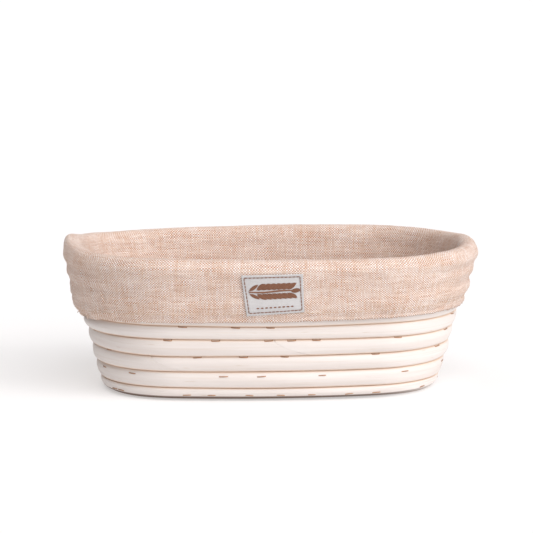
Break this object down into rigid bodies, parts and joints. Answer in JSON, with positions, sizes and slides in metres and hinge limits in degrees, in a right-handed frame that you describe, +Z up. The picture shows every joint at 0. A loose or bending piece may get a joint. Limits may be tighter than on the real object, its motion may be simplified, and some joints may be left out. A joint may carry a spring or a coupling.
{
  "type": "banneton basket",
  "caption": "Oval proving basket of stacked cane hoops with a lift-out cloth liner folded down over its rim.",
  "frame": {"origin": "centre of the underside, on the surface that the basket stands on", "axes": "+X along the basket's length, +Z up out of its mouth, -Y towards the side that carries the label"},
  "size_m": [0.259, 0.1598, 0.0898],
  "materials": {
    "cane": "pale unvarnished cane, matt with a faint grain along its length",
    "staple_wire": "copper-washed steel wire, dull",
    "linen": "plain-woven undyed linen with pale and tan slubs",
    "elastic": "flat woven elastic",
    "linen_thread": "spun sewing thread",
    "label_cloth": "close woven label tape",
    "label_thread": "brown sewing thread"
  },
  "bodies": {
    "basket": {"floor_core_cane": "cane", "floor_cane_1": "cane", "floor_cane_2": "cane", "floor_cane_3": "cane", "floor_cane_4": "cane", "wall_cane_1": "cane", "wall_cane_2": "cane", "wall_cane_3": "cane", "wall_cane_4": "cane", "wall_cane_5": "cane", "wall_cane_6": "cane", "wall_cane_7": "cane", "wall_cane_8": "cane", "wall_cane_9": "cane", "floor_staples": "staple_wire", "foot_staples": "staple_wire", "seam_staples_1": "staple_wire", "seam_staples_2": "staple_wire", "seam_staples_3": "staple_wire", "seam_staples_4": "staple_wire", "seam_staples_5": "staple_wire", "seam_staples_6": "staple_wire", "seam_staples_7": "staple_wire", "seam_staples_8": "staple_wire"},
    "liner": {"liner_floor_panel": "linen", "liner_side_panel": "linen", "liner_cuff": "linen", "hem_elastic": "elastic", "hem_thread": "linen_thread", "floor_seam_thread": "linen_thread", "label": "label_cloth", "label_thread": "label_thread"}
  },
  "joints": [
    {"name": "liner_lift", "type": "slide", "parent": "basket", "child": "liner", "axis": [0, 0, 1], "range_m": [0, 0.1], "deforming": ["liner_cuff", "hem_elastic", "hem_thread", "label", "label_thread"]}
  ]
}
